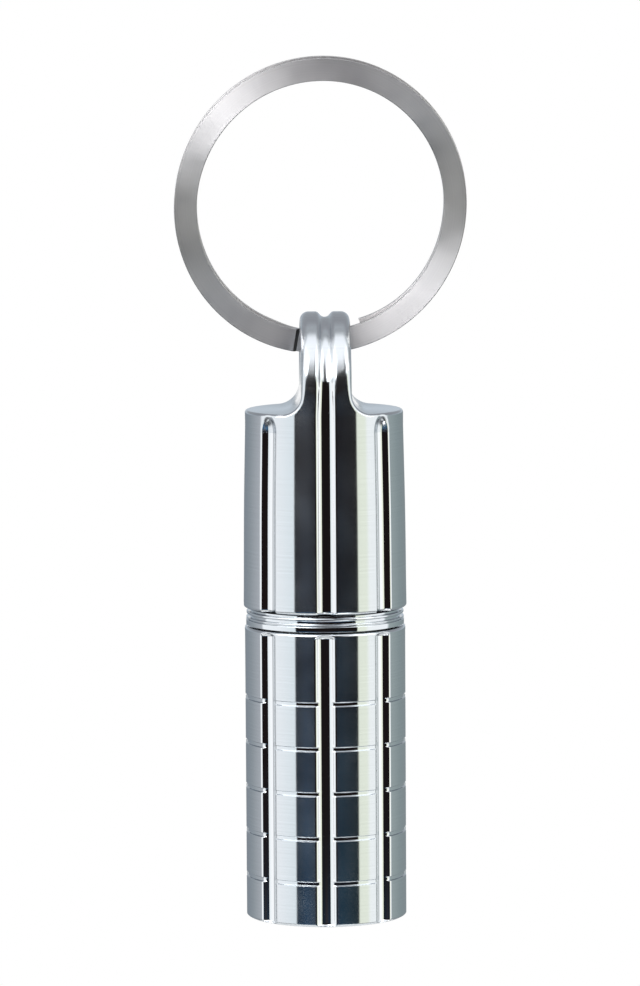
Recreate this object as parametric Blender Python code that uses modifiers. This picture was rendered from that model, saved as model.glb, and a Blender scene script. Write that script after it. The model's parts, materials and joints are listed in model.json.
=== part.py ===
"""Twist-action cigar punch on a split key ring, hanging from the ring.

Metres, +Z up, front towards -Y. The origin is the point inside the top of the
split ring where a hook or a finger carries it, so the punch hangs below.
Twisting the fluted grip sleeve against the cap turns a cam tube, whose two
helical slots drive the pins of the blade carrier down the straight slots of
the core tube, and the round blade comes out of the nose.
"""
import math

import bmesh
import bpy
from mathutils import Matrix

# Clearances and cutting allowances
SEAM = 0.00015          # dark line between two outer pieces
FIT = 0.00025           # every hidden seat and running fit, on each side
JOIN = 0.00003          # how far shapes that become one piece reach into each other
OVERRUN = 0.0010        # how far a cutter runs past the face it opens

# Facets of round shapes
OUTER_STEPS = 48
INNER_STEPS = 32
SMALL_STEPS = 16
RUBBER_STEPS = 8        # round a rubber ring's wire
ROUND_STEPS = 4         # straight pieces in a rounded edge
FILLET_STEPS = 6
ARCH_STEPS = 24
BALL_END_SHARE = 0.93   # of a quarter turn, where a bar's ball end is closed with a small flat

# Split ring: flat wire wound in two turns
RING_OUTER_RADIUS = 0.0150            # mean, as the ring is a little oval
RING_OVAL = 0.00022                   # longest radius beyond the mean one
RING_LEAN = math.radians(30.0)        # long axis, from upright towards the right
RING_SHIFT = 0.0003                   # ring's middle, left of the body's axis
RING_WIRE_WIDTH = 0.00228
RING_WIRE_THICKNESS = 0.00085
RING_TURN_GAP = 0.00015
RING_STEPS_PER_TURN = 64
RING_FRONT_END = math.radians(9.3)    # front turn's free end, left of the bail
RING_REAR_END = math.radians(14.0)    # rear turn's free end, right of the bail
RING_SPRUNG_END = 0.0005              # how far the rear end springs inwards
RING_SPRUNG_SPREAD = math.radians(26.0)

# Punch blade: a tube sharpened at its lower end
BLADE_RADIUS = 0.0040
BLADE_WALL = 0.00055
BLADE_LENGTH = 0.0134
BLADE_BEVEL_HEIGHT = 0.0013
BLADE_EDGE_SHARE = 0.15               # of the wall, left flat at the cutting edge
BLADE_SETBACK = 0.0010                # from the nose face when drawn in
BLADE_TRAVEL = 0.0080
TWIST = math.pi                       # turn of the sleeve for the whole travel

# Blade carrier, its washer and drive pins
CARRIER_STEP = 0.00040                # carrier radius beyond the blade's
CARRIER_LENGTH = 0.0064
CARRIER_SPIGOT_LENGTH = 0.0035
BLADE_WASHER_THICKNESS = 0.00060
PIN_RADIUS = 0.00060
PIN_BELOW_CARRIER_TOP = 0.0024
PIN_ROD_WALL = 0.00085                # steel left between the pin and the rod's bore

# Ejector: a fixed rod with a disc that empties the blade
ROD_RADIUS = 0.0011
ROD_SEAT_DEPTH = 0.00425              # blind hole in the cap that holds the rod
DISC_THICKNESS = 0.0016
DISC_SOCKET_DEPTH = 0.0009
DISC_SETBACK = 0.0018                 # disc face behind the nose face
LOCK_NUT_FLATS = 0.0042
LOCK_NUT_HEIGHT = 0.0014

# Core tube, fixed in the cap, and what keeps the sleeve on it
CORE_WALL = 0.00095
CORE_IN_CAP = 0.0112
CORE_ABOVE_NOSE = 0.0052
FLANGE_HEIGHT = 0.0023
FRICTION_RING_RADIUS = 0.00035
RETAINER_THICKNESS = 0.00060
RETAINER_WIDTH = 0.00115
RETAINER_BITE = 0.00025               # how far the retainer reaches into the core tube
RETAINER_GAP = math.radians(40.0)
THRUST_WASHER_THICKNESS = 0.00050
WAVE_THICKNESS = 0.00025
WAVE_HEIGHT = 0.00015
WAVE_COUNT = 3

# Cam tube, fixed in the sleeve
CAM_WALL = 0.00085
CAM_END_BRIDGE = 0.0010               # solid tube beyond each end of a slot

# Grip sleeve
SLEEVE_LENGTH = 0.03017
SLEEVE_WALL = 0.00136
SLEEVE_EDGE = 0.00022
SLEEVE_EDGE_HEIGHT = 0.00050
SLEEVE_EDGE_SHARE = 0.25              # of the edge, left for its shallow lower part
SLEEVE_FOOT_CHAMFER = 0.00030
GROOVE_COUNT = 5
GROOVE_PITCH = 0.00462
GROOVE_FIRST = 0.00446                # lowest groove above the nose face
GROOVE_HEIGHT = 0.00055
GROOVE_FLOOR_SHARE = 0.33             # of its height, flat at the bottom
GROOVE_DEPTH = 0.00018

# Nose bush and its wiper ring
NOSE_HEIGHT = 0.0040
NOSE_MOUTH_CHAMFER = 0.0004
WIPER_RADIUS = 0.00045
SPANNER_SLOT_WIDTH = 0.0012
SPANNER_SLOT_DEPTH = 0.0006

# Collar ring between cap and sleeve
COLLAR_HEIGHT = 0.0016
COLLAR_SETBACK = 0.00018              # below the sleeve's radius
COLLAR_GROOVE_DEPTH = 0.00020
COLLAR_ROUND_SHARE = 0.10             # of its height, each rounded edge

# Cap
CAP_LENGTH = 0.02033
CAP_OVERHANG = 0.00013                # beyond the sleeve's radius
CAP_TAPER = 0.00030
CAP_RIM_ROUND = 0.00060
CAP_FOOT_ROUND = 0.00035

# Bail: the eye milled on top of the cap
BAIL_WIDTH = 0.0051
BAIL_NECK = 0.00187                   # straight part below the arch
BAIL_FILLET = 0.0018                  # no larger than the neck
BAIL_EDGE_ROUND = 0.00085
BAIL_TOP_WALL = 0.00136
BAIL_SETBACK = 0.00003                # behind the cap's surface
EYE_RIM_ROUND = 0.00060

# Flutes along cap and sleeve
FLUTE_COUNT = 8
FLUTE_RADIUS = 0.0013
FLUTE_DEPTH = 0.00040
FLUTE_EDGE_LAND = 0.00035             # plain metal above a flute's rounded end

# Radii, worked out from the blade outwards
blade_bore = BLADE_RADIUS - BLADE_WALL
carrier_radius = BLADE_RADIUS + CARRIER_STEP
core_bore = carrier_radius + FIT
core_radius = core_bore + CORE_WALL
cam_bore = core_radius + FIT
cam_radius = cam_bore + CAM_WALL
sleeve_bore = cam_radius + FIT
sleeve_radius = sleeve_bore + SLEEVE_WALL
cap_foot_radius = sleeve_radius + CAP_OVERHANG
cap_top_radius = cap_foot_radius - CAP_TAPER
nose_bore = BLADE_RADIUS + FIT
rod_bore = ROD_RADIUS + FIT


def ring_point(angle, depth):
    """Across and up from the ring's middle, a depth inside its outer edge.

    Seen from the front the angle starts at the bottom and climbs on the left.
    """
    radius = RING_OUTER_RADIUS + RING_OVAL * math.cos(2 * (angle - RING_LEAN)) - depth
    return -radius * math.sin(angle), -radius * math.cos(angle)


# Levels, worked out from the split ring downwards
ring_stack = 2 * RING_WIRE_THICKNESS + RING_TURN_GAP
eye_flat = BAIL_WIDTH / 2 - EYE_RIM_ROUND
ring_inner_radius = RING_OUTER_RADIUS - RING_WIRE_WIDTH
axis_angle = math.asin(RING_SHIFT / ring_inner_radius)
rim_angle = math.asin((eye_flat + RING_SHIFT) / ring_inner_radius)
ring_centre_z = -ring_point(math.pi + axis_angle, RING_WIRE_WIDTH)[1]
eye_z = ring_centre_z + ring_point(-axis_angle, 0)[1]
wire_top_z = ring_centre_z + ring_point(-rim_angle, RING_WIRE_WIDTH)[1]
eye_radius = math.hypot(wire_top_z - eye_z, ring_stack / 2) + FIT
bail_top_z = eye_z + eye_radius + BAIL_TOP_WALL
arch_z = bail_top_z - cap_top_radius
shoulder_z = arch_z - BAIL_NECK
cap_foot_z = shoulder_z - CAP_LENGTH
collar_top_z = cap_foot_z - SEAM
collar_foot_z = collar_top_z - COLLAR_HEIGHT
sleeve_top_z = collar_foot_z - SEAM
nose_z = sleeve_top_z - SLEEVE_LENGTH

# Levels of the hidden pieces
core_top_z = cap_foot_z + CORE_IN_CAP
cap_ceiling_z = core_top_z + FIT
rod_seat_z = cap_ceiling_z + ROD_SEAT_DEPTH
flange_top_z = collar_foot_z - FIT
flange_foot_z = flange_top_z - FLANGE_HEIGHT
wave_z = flange_foot_z - FIT - WAVE_HEIGHT - WAVE_THICKNESS / 2
cam_top_z = wave_z - WAVE_THICKNESS / 2 - WAVE_HEIGHT - FIT
blade_tip_z = nose_z + BLADE_SETBACK
blade_top_z = blade_tip_z + BLADE_LENGTH
washer_foot_z = blade_top_z + FIT
carrier_foot_z = washer_foot_z + BLADE_WASHER_THICKNESS + FIT
carrier_top_z = carrier_foot_z + CARRIER_LENGTH
pin_z = carrier_top_z - PIN_BELOW_CARRIER_TOP
slot_half_width = PIN_RADIUS + FIT
helix_slope = math.atan2(BLADE_TRAVEL, TWIST * cam_bore)
helix_half_height = slot_half_width / math.cos(helix_slope)
helix_run_out = slot_half_width / cam_bore
helix_end_drop = BLADE_TRAVEL / TWIST * helix_run_out
cam_foot_z = pin_z - BLADE_TRAVEL - helix_half_height - helix_end_drop - CAM_END_BRIDGE
thrust_top_z = cam_foot_z - FIT
retainer_top_z = thrust_top_z - THRUST_WASHER_THICKNESS - FIT
retainer_foot_z = retainer_top_z - RETAINER_THICKNESS
core_foot_z = nose_z + CORE_ABOVE_NOSE
disc_face_z = nose_z + DISC_SETBACK
disc_top_z = disc_face_z + DISC_THICKNESS
rod_foot_z = disc_top_z - DISC_SOCKET_DEPTH + FIT
nose_top_z = nose_z + NOSE_HEIGHT


def clear_scene():
    """Empty the file of whatever Blender starts with."""
    for item in list(bpy.data.objects):
        bpy.data.objects.remove(item)


def make_collection(name):
    """A collection in the scene."""
    group = bpy.data.collections.new(name)
    bpy.context.scene.collection.children.link(group)
    return group


def make_material(name, colour, roughness, metallic):
    """A Principled material of one plain finish."""
    material = bpy.data.materials.new(name)
    material.use_nodes = True
    shader = material.node_tree.nodes["Principled BSDF"]
    shader.inputs["Base Color"].default_value = (*colour, 1.0)
    shader.inputs["Roughness"].default_value = roughness
    shader.inputs["Metallic"].default_value = metallic
    material.diffuse_color = (*colour, 1.0)
    return material


def add_object(name, data, finish=None):
    """Put a mesh in the model's collection, or among the cutters if it has no finish."""
    item = bpy.data.objects.new(name, data)
    if finish is None:
        cutters.objects.link(item)
        item.hide_render = True
        item.display_type = "WIRE"
    else:
        model.objects.link(item)
        data.materials.append(finish)
    return item


def turned(name, profile, steps, finish=None, closed=True):
    """Turn a profile of (radius, height) pairs about Z, outer side first, going down."""
    mesh = bpy.data.meshes.new(name)
    points = [(radius, 0.0, height) for radius, height in profile]
    edges = [(i, i + 1) for i in range(len(points) - 1)]
    if closed:
        edges.append((len(points) - 1, 0))
    mesh.from_pydata(points, edges, [])
    item = add_object(name, mesh, finish)
    screw = item.modifiers.new("turn", "SCREW")
    screw.axis = "Z"
    screw.angle = 2 * math.pi
    screw.steps = steps
    screw.render_steps = steps
    screw.use_smooth_shade = True
    screw.use_merge_vertices = True
    screw.merge_threshold = JOIN / 10
    return item


def arc(centre, radius, start, end, steps):
    """Points of an arc, both ends included."""
    turns = [start + (end - start) * i / steps for i in range(steps + 1)]
    return [(centre[0] + radius * math.cos(a), centre[1] + radius * math.sin(a)) for a in turns]


def evaluated_mesh(item, name):
    """The mesh of an object with its modifiers, or of a curve with its caps welded."""
    bpy.context.view_layer.update()
    source = item.evaluated_get(bpy.context.evaluated_depsgraph_get())
    mesh = bpy.data.meshes.new_from_object(source)
    mesh.name = name
    shape = bmesh.new()
    shape.from_mesh(mesh)
    bmesh.ops.remove_doubles(shape, verts=shape.verts, dist=JOIN / 10)
    bmesh.ops.recalc_face_normals(shape, faces=shape.faces)
    shape.to_mesh(mesh)
    shape.free()
    return mesh


def curve_as_mesh(curve_object, name, finish=None):
    """Replace a curve by its mesh, so that it can be cut and joined."""
    mesh = evaluated_mesh(curve_object, name)
    place = curve_object.matrix_world.copy()
    bpy.data.objects.remove(curve_object)
    item = add_object(name, mesh, finish)
    item.matrix_world = place
    return item


def plate(name, outline, half_depth, turn, finish=None, edge_round=0.0):
    """A flat closed outline given half a thickness each way, then turned into place."""
    curve = bpy.data.curves.new(name, "CURVE")
    curve.dimensions = "2D"
    curve.fill_mode = "BOTH"
    curve.extrude = half_depth - edge_round
    curve.bevel_depth = edge_round
    curve.bevel_resolution = 2
    curve.offset = -edge_round
    spline = curve.splines.new("POLY")
    spline.points.add(len(outline) - 1)
    for point, (across, up) in zip(spline.points, outline):
        point.co = (across, up, 0.0, 1.0)
    spline.use_cyclic_u = True
    item = bpy.data.objects.new(name + "_outline", curve)
    cutters.objects.link(item)
    item.matrix_world = turn
    return curve_as_mesh(item, name, finish)


# A plate's outline lies in X and Z, in Y and Z, or in X and Y
FACING_FRONT = Matrix.Rotation(math.pi / 2, 4, "X")
FACING_SIDE = Matrix.Rotation(math.pi / 2, 4, "Z") @ FACING_FRONT
FACING_UP = Matrix.Identity(4)


def rounded_rod(name, path, radius, round_start, round_end):
    """A round bar along a path, whose ends may be half balls."""
    stations = [(point, 1.0) for point in path]

    def ball(tip_from, tip_at):
        away = [(b - a) for a, b in zip(tip_from, tip_at)]
        length = math.sqrt(sum(value ** 2 for value in away))
        points = []
        for i in range(1, ROUND_STEPS + 1):
            turn = math.pi / 2 * BALL_END_SHARE * i / ROUND_STEPS
            reach = radius * math.sin(turn) / length
            points.append((tuple(b + v * reach for b, v in zip(tip_at, away)), math.cos(turn)))
        return points

    if round_end:
        stations = stations + ball(path[-2], path[-1])
    if round_start:
        stations = ball(path[1], path[0])[::-1] + stations
    curve = bpy.data.curves.new(name, "CURVE")
    curve.dimensions = "3D"
    curve.bevel_depth = radius
    curve.bevel_resolution = 6
    curve.use_fill_caps = True
    spline = curve.splines.new("POLY")
    spline.points.add(len(stations) - 1)
    for point, (place, share) in zip(spline.points, stations):
        point.co = (*place, 1.0)
        point.radius = share
    item = bpy.data.objects.new(name + "_path", curve)
    cutters.objects.link(item)
    return curve_as_mesh(item, name)


def cylinder(name, radius, start, end, axis, steps, finish=None):
    """A plain cylinder along X or Z, from start to end on that axis."""
    mesh = bpy.data.meshes.new(name)
    shape = bmesh.new()
    bmesh.ops.create_cone(
        shape, cap_ends=True, segments=steps, radius1=radius, radius2=radius, depth=end - start
    )
    bmesh.ops.translate(shape, verts=shape.verts, vec=(0.0, 0.0, (start + end) / 2))
    if axis == "X":
        bmesh.ops.rotate(shape, verts=shape.verts, matrix=Matrix.Rotation(math.pi / 2, 3, "Y"))
    shape.to_mesh(mesh)
    shape.free()
    mesh.shade_smooth()
    mesh.set_sharp_from_angle(angle=math.radians(40.0))
    return add_object(name, mesh, finish)


def block(name, low, high, finish=None):
    """A box between two corners."""
    mesh = bpy.data.meshes.new(name)
    shape = bmesh.new()
    bmesh.ops.create_cube(shape, size=1.0)
    bmesh.ops.scale(shape, verts=shape.verts, vec=[b - a for a, b in zip(low, high)])
    bmesh.ops.translate(shape, verts=shape.verts, vec=[(a + b) / 2 for a, b in zip(low, high)])
    shape.to_mesh(mesh)
    shape.free()
    return add_object(name, mesh, finish)


def combine(item, other, operation):
    """Cut, join or clip one object with another."""
    step = item.modifiers.new(other.name, "BOOLEAN")
    step.operation = operation
    step.solver = "EXACT"
    step.object = other
    return item


def flute_direction(index):
    """The way that a flute faces: the first one is at the front, and they go round to the right."""
    turn = 2 * math.pi * index / FLUTE_COUNT
    return math.sin(turn), -math.cos(turn)


def build_split_ring(finish):
    """Flat wire in two turns, wound clockwise from the front, crossing over inside the eye."""
    outline = bpy.data.curves.new("ring_wire_section", "CURVE")
    outline.dimensions = "2D"
    section = outline.splines.new("POLY")
    half_width = RING_WIRE_WIDTH / 2
    half_thick = RING_WIRE_THICKNESS / 2
    corners = [(half_width, half_thick), (-half_width, half_thick)]
    corners += [(-half_width, -half_thick), (half_width, -half_thick)]
    section.points.add(len(corners) - 1)
    for point, (across, up) in zip(section.points, corners):
        point.co = (across, up, 0.0, 1.0)
    section.use_cyclic_u = True
    section_object = add_object("ring_wire_section", outline)

    layer = (RING_WIRE_THICKNESS + RING_TURN_GAP) / 2
    start = RING_FRONT_END
    cross_start = 2 * math.pi - RING_REAR_END
    cross_end = 2 * math.pi + RING_FRONT_END
    end = 4 * math.pi - RING_REAR_END
    step = 2 * math.pi / RING_STEPS_PER_TURN
    count = round((end - start) / step)

    curve = bpy.data.curves.new("split_ring", "CURVE")
    curve.dimensions = "3D"
    curve.twist_mode = "Z_UP"
    curve.bevel_mode = "OBJECT"
    curve.bevel_object = section_object
    curve.use_fill_caps = True
    spline = curve.splines.new("POLY")
    spline.points.add(count)
    for i, point in enumerate(spline.points):
        angle = start + (end - start) * i / count
        crossing = min(max((angle - cross_start) / (cross_end - cross_start), 0.0), 1.0)
        eased = crossing * crossing * (3 - 2 * crossing)
        sprung = max(0.0, 1 - (end - angle) / RING_SPRUNG_SPREAD) ** 2
        across, up = ring_point(angle, half_width + RING_SPRUNG_END * sprung)
        point.co = (across, up, layer * (1 - 2 * eased), 1.0)
    ring = bpy.data.objects.new("split_ring", curve)
    cutters.objects.link(ring)
    ring.matrix_world = Matrix.Translation((-RING_SHIFT, 0.0, ring_centre_z)) @ FACING_FRONT
    return curve_as_mesh(ring, "split_ring", finish)


def build_bail():
    """The arched eye with its fillets, clipped to the round of the cap."""
    half_width = BAIL_WIDTH / 2
    root_z = shoulder_z - CAP_RIM_ROUND - JOIN
    arch = arc((0.0, arch_z), cap_top_radius, 0.0, math.pi, ARCH_STEPS)
    side_outline = [(-cap_top_radius, root_z), (cap_top_radius, root_z)] + arch
    bail = plate("bail_blank", side_outline, half_width, FACING_SIDE, edge_round=BAIL_EDGE_ROUND)

    fillet = min(BAIL_FILLET, BAIL_NECK)
    fillet_x = half_width - JOIN + fillet
    fillet_z = shoulder_z - JOIN + fillet
    right = arc((fillet_x, fillet_z), fillet, 1.5 * math.pi, math.pi, FILLET_STEPS)
    left = [(-across, up) for across, up in reversed(right)]
    foot = [(-fillet_x, root_z), (fillet_x, root_z)]
    fillets = plate("bail_fillets", foot + right + left, cap_top_radius, FACING_FRONT)

    clip_radius = cap_top_radius - BAIL_SETBACK
    clip = turned("bail_clip", [
        (0.0, bail_top_z + OVERRUN),
        (clip_radius, bail_top_z + OVERRUN),
        (clip_radius, root_z - OVERRUN),
        (0.0, root_z - OVERRUN),
    ], OUTER_STEPS, closed=False)
    combine(bail, fillets, "UNION")
    combine(bail, clip, "INTERSECT")
    return bail


def build_eye_cutter():
    """The cross hole for the ring, flared and rounded at both faces of the bail."""
    half_width = BAIL_WIDTH / 2
    flare = arc((eye_radius + EYE_RIM_ROUND, eye_flat), EYE_RIM_ROUND, math.pi, math.pi / 2, ROUND_STEPS)
    wide = eye_radius + EYE_RIM_ROUND
    upper = [(0.0, half_width + OVERRUN), (wide, half_width + OVERRUN)] + flare[::-1]
    lower = [(radius, -height) for radius, height in reversed(upper)]
    cutter = turned("eye_cutter", upper + lower, INNER_STEPS, closed=False)
    cutter.matrix_world = Matrix.Translation((0.0, 0.0, eye_z)) @ Matrix.Rotation(math.pi / 2, 4, "Y")
    return cutter


def build_cap_flutes():
    """Six flutes that end below the shoulder, and one that runs up the front, over and down."""
    lift = FLUTE_RADIUS - FLUTE_DEPTH
    end_reach = math.sqrt(FLUTE_RADIUS ** 2 - lift ** 2)
    high_z = shoulder_z - CAP_RIM_ROUND - end_reach / 2
    low_z = cap_foot_z - OVERRUN
    taper_slope = CAP_TAPER / CAP_LENGTH
    high_radius = cap_top_radius + lift + (shoulder_z - high_z) * taper_slope
    low_radius = cap_foot_radius + lift + OVERRUN * taper_slope

    rods = []
    for index in range(FLUTE_COUNT):
        across, deep = flute_direction(index)
        if index in (0, FLUTE_COUNT // 2):
            continue
        low = (across * low_radius, deep * low_radius, low_z)
        high = (across * high_radius, deep * high_radius, high_z)
        rods.append(rounded_rod(f"cap_flute_{index}", [low, high], FLUTE_RADIUS, False, True))

    over_radius = cap_top_radius + lift
    over = arc((0.0, arch_z), over_radius, math.pi, 0.0, ARCH_STEPS)
    path = [(-low_radius, low_z), (-over_radius, shoulder_z)] + over
    path += [(over_radius, shoulder_z), (low_radius, low_z)]
    rods.append(rounded_rod("cap_flute_over", [(0.0, deep, up) for deep, up in path],
                            FLUTE_RADIUS, False, False))
    return rods


def build_cap(finish):
    """The upper body: tapered outside, bored for the core tube and the ejector rod."""
    rim = arc((cap_top_radius - CAP_RIM_ROUND, shoulder_z - CAP_RIM_ROUND), CAP_RIM_ROUND,
              math.pi / 2, 0.0, ROUND_STEPS)
    foot = arc((cap_foot_radius - CAP_FOOT_ROUND, cap_foot_z + CAP_FOOT_ROUND), CAP_FOOT_ROUND,
               0.0, -math.pi / 2, ROUND_STEPS)
    bore = core_radius + FIT
    profile = [(0.0, shoulder_z)] + rim + foot
    profile += [(bore, cap_foot_z), (bore, cap_ceiling_z), (rod_bore, cap_ceiling_z)]
    profile += [(rod_bore, rod_seat_z), (0.0, rod_seat_z)]
    cap = turned("cap", profile, OUTER_STEPS, finish, closed=False)
    combine(cap, build_bail(), "UNION")
    combine(cap, build_eye_cutter(), "DIFFERENCE")
    for rod in build_cap_flutes():
        combine(cap, rod, "DIFFERENCE")
    return cap


def build_collar(finish):
    """The ring between cap and sleeve: two round bands with a groove between them."""
    outer = sleeve_radius - COLLAR_SETBACK
    bore = core_radius + FIT
    edge = COLLAR_HEIGHT * COLLAR_ROUND_SHARE
    band = (COLLAR_HEIGHT - 2 * edge) / 3
    groove = outer - COLLAR_GROOVE_DEPTH
    profile = [
        (bore, collar_top_z),
        (outer - edge, collar_top_z),
        (outer, collar_top_z - edge),
        (outer, collar_top_z - band),
        (groove, collar_top_z - band - edge),
        (groove, collar_foot_z + band + edge),
        (outer, collar_foot_z + band),
        (outer, collar_foot_z + edge),
        (outer - edge, collar_foot_z),
        (bore, collar_foot_z),
    ]
    return turned("collar_ring", profile, OUTER_STEPS, finish)


def build_sleeve(finish):
    """The grip that is twisted: turned grooves, then flutes deeper than the grooves."""
    profile = [
        (sleeve_bore, sleeve_top_z),
        (sleeve_radius - SLEEVE_EDGE, sleeve_top_z),
        (sleeve_radius - SLEEVE_EDGE * SLEEVE_EDGE_SHARE, sleeve_top_z - SLEEVE_EDGE),
        (sleeve_radius, sleeve_top_z - SLEEVE_EDGE_HEIGHT),
    ]
    floor = sleeve_radius - GROOVE_DEPTH
    half_height = GROOVE_HEIGHT / 2
    half_floor = half_height * GROOVE_FLOOR_SHARE
    for index in reversed(range(GROOVE_COUNT)):
        middle = nose_z + GROOVE_FIRST + GROOVE_PITCH * index
        profile += [
            (sleeve_radius, middle + half_height),
            (floor, middle + half_floor),
            (floor, middle - half_floor),
            (sleeve_radius, middle - half_height),
        ]
    profile += [
        (sleeve_radius, nose_z + SLEEVE_FOOT_CHAMFER),
        (sleeve_radius - SLEEVE_FOOT_CHAMFER, nose_z),
        (sleeve_bore, nose_z),
    ]
    sleeve = turned("grip_sleeve", profile, OUTER_STEPS, finish)

    lift = FLUTE_RADIUS - FLUTE_DEPTH
    end_reach = math.sqrt(FLUTE_RADIUS ** 2 - lift ** 2)
    reach = sleeve_radius + lift
    low_z = nose_z - OVERRUN
    high_z = sleeve_top_z - FLUTE_EDGE_LAND - end_reach
    for index in range(FLUTE_COUNT):
        across, deep = flute_direction(index)
        ends = [(across * reach, deep * reach, low_z), (across * reach, deep * reach, high_z)]
        rod = rounded_rod(f"sleeve_flute_{index}", ends, FLUTE_RADIUS, False, True)
        combine(sleeve, rod, "DIFFERENCE")
    return sleeve


def build_core_tube(finish):
    """The fixed tube: a flange under the collar, a groove for the retainer, two long slots."""
    seal_half = FRICTION_RING_RADIUS + FIT
    seal_z = (flange_top_z + flange_foot_z) / 2
    seal_floor = cam_radius - 2 * FRICTION_RING_RADIUS - FIT
    retainer_floor = core_radius - RETAINER_BITE - FIT
    profile = [
        (core_bore, core_top_z),
        (core_radius, core_top_z),
        (core_radius, flange_top_z),
        (cam_radius, flange_top_z),
        (cam_radius, seal_z + seal_half),
        (seal_floor, seal_z + seal_half),
        (seal_floor, seal_z - seal_half),
        (cam_radius, seal_z - seal_half),
        (cam_radius, flange_foot_z),
        (core_radius, flange_foot_z),
        (core_radius, retainer_top_z + FIT),
        (retainer_floor, retainer_top_z + FIT),
        (retainer_floor, retainer_foot_z - FIT),
        (core_radius, retainer_foot_z - FIT),
        (core_radius, core_foot_z),
        (core_bore, core_foot_z),
    ]
    core = turned("core_tube", profile, INNER_STEPS, finish)
    upper = arc((0.0, pin_z), slot_half_width, 0.0, math.pi, ROUND_STEPS)
    lower = arc((0.0, pin_z - BLADE_TRAVEL), slot_half_width, math.pi, 2 * math.pi, ROUND_STEPS)
    slot = plate("core_slot_cutter", upper + lower, core_radius + OVERRUN, FACING_SIDE)
    return combine(core, slot, "DIFFERENCE")


def build_helix_cutter(name, pin_angle):
    """The path of one pin as the cam tube sees it: it falls while the tube turns under it."""
    inner = cam_bore - FIT / 2
    outer = cam_radius + FIT / 2
    slope = BLADE_TRAVEL / TWIST
    first = pin_angle + helix_run_out
    top = pin_z + slope * helix_run_out
    sweep = TWIST + 2 * helix_run_out
    steps = OUTER_STEPS // 2
    shape = bmesh.new()
    corners = [(inner, -helix_half_height), (outer, -helix_half_height)]
    corners += [(outer, helix_half_height), (inner, helix_half_height)]
    corner_vertices = [
        shape.verts.new((radius * math.cos(first), radius * math.sin(first), top + height))
        for radius, height in corners
    ]
    face = shape.faces.new(corner_vertices)
    bmesh.ops.spin(
        shape, geom=[face], cent=(0.0, 0.0, 0.0), axis=(0.0, 0.0, 1.0),
        dvec=(0.0, 0.0, -slope * sweep / steps), angle=-sweep, steps=steps,
    )
    bmesh.ops.remove_doubles(shape, verts=shape.verts, dist=JOIN / 10)
    bmesh.ops.recalc_face_normals(shape, faces=shape.faces)
    mesh = bpy.data.meshes.new(name)
    shape.to_mesh(mesh)
    shape.free()
    return add_object(name, mesh)


def build_cam_tube(finish):
    """The tube that turns with the sleeve and carries the two helical slots."""
    cam = turned("cam_tube", [
        (cam_bore, cam_top_z),
        (cam_radius, cam_top_z),
        (cam_radius, cam_foot_z),
        (cam_bore, cam_foot_z),
    ], INNER_STEPS, finish)
    for name, pin_angle in (("cam_slot_right", 0.0), ("cam_slot_left", math.pi)):
        combine(cam, build_helix_cutter(name, pin_angle), "DIFFERENCE")
    return cam


def build_nose_bush(finish):
    """The threaded ring that closes the sleeve and guides the blade."""
    groove_half = WIPER_RADIUS + FIT
    groove_z = nose_z + NOSE_HEIGHT / 2
    groove_floor = nose_bore + FIT + 2 * WIPER_RADIUS + FIT
    bush = turned("nose_bush", [
        (nose_bore, nose_top_z),
        (cam_radius, nose_top_z),
        (cam_radius, nose_z),
        (nose_bore + NOSE_MOUTH_CHAMFER, nose_z),
        (nose_bore, nose_z + NOSE_MOUTH_CHAMFER),
        (nose_bore, groove_z - groove_half),
        (groove_floor, groove_z - groove_half),
        (groove_floor, groove_z + groove_half),
        (nose_bore, groove_z + groove_half),
    ], INNER_STEPS, finish)
    low = (-SPANNER_SLOT_WIDTH / 2, -cam_radius - OVERRUN, nose_z - OVERRUN)
    high = (SPANNER_SLOT_WIDTH / 2, cam_radius + OVERRUN, nose_z + SPANNER_SLOT_DEPTH)
    return combine(bush, block("spanner_slot_cutter", low, high), "DIFFERENCE")


def build_punch_blade(finish):
    """A thin tube, ground to an edge on its outside at the lower end."""
    edge_radius = blade_bore + BLADE_WALL * BLADE_EDGE_SHARE
    return turned("punch_blade", [
        (blade_bore, blade_top_z),
        (BLADE_RADIUS, blade_top_z),
        (BLADE_RADIUS, blade_tip_z + BLADE_BEVEL_HEIGHT),
        (edge_radius, blade_tip_z),
        (blade_bore, blade_tip_z),
    ], INNER_STEPS, finish)


def build_blade_washer(finish):
    """The locking washer between blade and carrier."""
    return turned("blade_washer", [
        (blade_bore, washer_foot_z + BLADE_WASHER_THICKNESS),
        (BLADE_RADIUS, washer_foot_z + BLADE_WASHER_THICKNESS),
        (BLADE_RADIUS, washer_foot_z),
        (blade_bore, washer_foot_z),
    ], INNER_STEPS, finish)


def build_carrier(finish):
    """The slider in the core tube, with the spigot that the blade screws on."""
    spigot_radius = blade_bore - FIT
    spigot_foot_z = carrier_foot_z - CARRIER_SPIGOT_LENGTH
    carrier = turned("blade_carrier", [
        (rod_bore, carrier_top_z),
        (carrier_radius, carrier_top_z),
        (carrier_radius, carrier_foot_z),
        (spigot_radius, carrier_foot_z),
        (spigot_radius, spigot_foot_z),
        (rod_bore, spigot_foot_z),
    ], INNER_STEPS, finish)
    reach = carrier_radius + OVERRUN
    hole = cylinder("pin_hole_cutter", slot_half_width, -reach, reach, "X", SMALL_STEPS)
    hole.location = (0.0, 0.0, pin_z)
    return combine(carrier, hole, "DIFFERENCE")


def build_drive_pin(name, side, finish):
    """One pin, from beside the ejector rod's bore out to the cam tube's wall."""
    near = rod_bore + PIN_ROD_WALL
    far = cam_radius - FIT
    start, end = (near, far) if side > 0 else (-far, -near)
    pin = cylinder(name, PIN_RADIUS, start, end, "X", SMALL_STEPS, finish)
    pin.location = (0.0, 0.0, pin_z)
    return pin


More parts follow.
